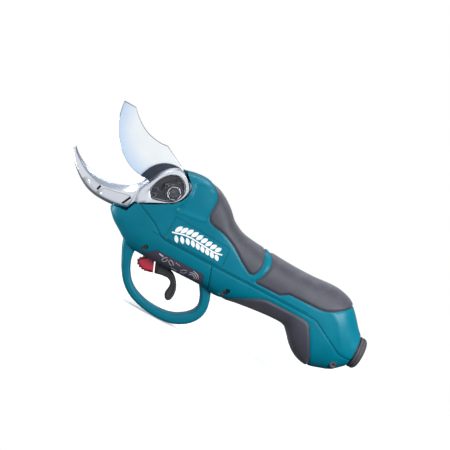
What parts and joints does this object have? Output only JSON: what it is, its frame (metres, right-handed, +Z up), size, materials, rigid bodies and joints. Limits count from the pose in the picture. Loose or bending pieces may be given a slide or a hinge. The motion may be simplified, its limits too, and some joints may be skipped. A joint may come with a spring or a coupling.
{
  "type": "battery electric pruner",
  "caption": "Corded hand unit of an electric pruner: hook and bypass blade on a pistol-like body with trigger, finger guard and rear cable socket.",
  "frame": {"origin": "centre of the cable socket's mouth at the tail", "axes": "+X along the handle out of the socket, away from the blades; +Z up towards the back of the hand; +Y across, away from the side that carries the ring"},
  "size_m": [0.3062, 0.0444, 0.1534],
  "materials": {
    "teal_shell": "satin moulded plastic, teal",
    "soft_grip": "soft textured elastomer, dark grey",
    "label": "printed film, dark grey",
    "hook_steel": "forged, ground and plated",
    "blade_steel": "mirror polished",
    "dark_steel": "black oxide",
    "bright_steel": "machined",
    "cast_alloy": "die cast",
    "bronze": "sintered or drawn",
    "copper": "enamelled winding",
    "board": "solder mask",
    "black_plastic": "moulded, black",
    "collar_plastic": "moulded, dark grey",
    "red_plastic": "moulded, red",
    "trigger_plastic": "moulded, black",
    "lead_cover": "insulated wire"
  },
  "bodies": {
    "handle": {"housing_left": "teal_shell", "housing_right": "teal_shell", "guard_frame": "teal_shell", "trigger_guard": "teal_shell", "lower_shell_left": "teal_shell", "lower_shell_right": "teal_shell", "front_grip": "soft_grip", "rear_grip": "soft_grip", "lower_grip": "soft_grip", "trigger_label_left": "label", "trigger_label_right": "label", "name_panel_left": "teal_shell", "name_panel_right": "teal_shell", "hook_blade": "hook_steel", "shroud_plate": "dark_steel", "lock_plate": "dark_steel", "lock_plate_screws": "bright_steel", "nut_lock_screw": "dark_steel", "head_frame": "cast_alloy", "spindle_bush": "bronze", "screw_front_bush": "bronze", "screw_rear_bearing": "bright_steel", "gear_case": "cast_alloy", "ring_gear": "dark_steel", "motor_can": "dark_steel", "motor_end_cap": "dark_steel", "stator_core": "dark_steel", "stator_coils": "copper", "trigger_pin": "bright_steel", "lock_off_pin": "bright_steel", "trigger_spring": "bright_steel", "lock_off_spring": "bright_steel", "trigger_switch": "black_plastic", "control_board": "board", "board_capacitors": "black_plastic", "motor_leads": "lead_cover", "supply_leads": "lead_cover", "cable_socket": "black_plastic", "socket_collar": "collar_plastic", "socket_seal": "lead_cover", "contact_sleeves": "bronze", "housing_screws": "bright_steel"},
    "blade": {"cutting_blade": "blade_steel", "blade_spindle": "bright_steel", "sector_gear": "dark_steel", "pivot_nut": "dark_steel", "pivot_washer": "dark_steel"},
    "nut": {"screw_nut": "bright_steel", "drive_rack": "dark_steel"},
    "screw": {"drive_screw": "bright_steel", "planet_carrier": "bright_steel", "planet_pins": "bright_steel"},
    "planet_1": {"planet_gear_1": "bronze"},
    "planet_2": {"planet_gear_2": "bronze"},
    "planet_3": {"planet_gear_3": "bronze"},
    "rotor": {"motor_rotor": "bright_steel", "rotor_magnets": "dark_steel", "sun_gear": "dark_steel"},
    "trigger": {"trigger": "trigger_plastic"},
    "lock_off": {"lock_off_lever": "red_plastic"}
  },
  "joints": [
    {"name": "blade_pivot", "type": "hinge", "parent": "handle", "child": "blade", "pos_m": [-0.212, 0, 0.05], "axis": [0, -1, 0], "range_deg": [0, 43]},
    {"name": "nut_slide", "type": "slide", "parent": "handle", "child": "nut", "axis": [1, 0, 0], "range_m": [-0.0002, 0.0168]},
    {"name": "screw_spin", "type": "hinge", "parent": "handle", "child": "screw", "pos_m": [-0.202, 0, 0.016], "axis": [1, 0, 0], "range_deg": [-5, 750]},
    {"name": "rotor_spin", "type": "hinge", "parent": "handle", "child": "rotor", "pos_m": [-0.132, 0, 0.016], "axis": [1, 0, 0], "range_deg": [-20, 2990]},
    {"name": "planet_1_spin", "type": "hinge", "parent": "screw", "child": "planet_1", "pos_m": [-0.157, 0.0096, 0.016], "axis": [1, 0, 0], "range_deg": [-2240, 10]},
    {"name": "planet_2_spin", "type": "hinge", "parent": "screw", "child": "planet_2", "pos_m": [-0.157, -0.0048, 0.02431], "axis": [1, 0, 0], "range_deg": [-2240, 10]},
    {"name": "planet_3_spin", "type": "hinge", "parent": "screw", "child": "planet_3", "pos_m": [-0.157, -0.0048, 0.00769], "axis": [1, 0, 0], "range_deg": [-2240, 10]},
    {"name": "trigger_pull", "type": "hinge", "parent": "handle", "child": "trigger", "pos_m": [-0.191, 0, -0.002], "axis": [0, -1, 0], "range_deg": [0, 14], "stiffness_Nm_per_rad": 0.25, "springref_deg": -8.59},
    {"name": "lock_off_press", "type": "hinge", "parent": "handle", "child": "lock_off", "pos_m": [-0.2015, 0, -0.002], "axis": [0, 1, 0], "range_deg": [0, 10], "stiffness_Nm_per_rad": 0.2, "springref_deg": -8.59}
  ],
  "couplings": [
    {"joint": "nut_slide", "follows": "blade_pivot", "m_per_rad": 0.022},
    {"joint": "screw_spin", "follows": "blade_pivot", "ratio": 17.279},
    {"joint": "rotor_spin", "follows": "blade_pivot", "ratio": 69.115},
    {"joint": "planet_1_spin", "follows": "blade_pivot", "ratio": -51.836},
    {"joint": "planet_2_spin", "follows": "blade_pivot", "ratio": -51.836},
    {"joint": "planet_3_spin", "follows": "blade_pivot", "ratio": -51.836}
  ]
}
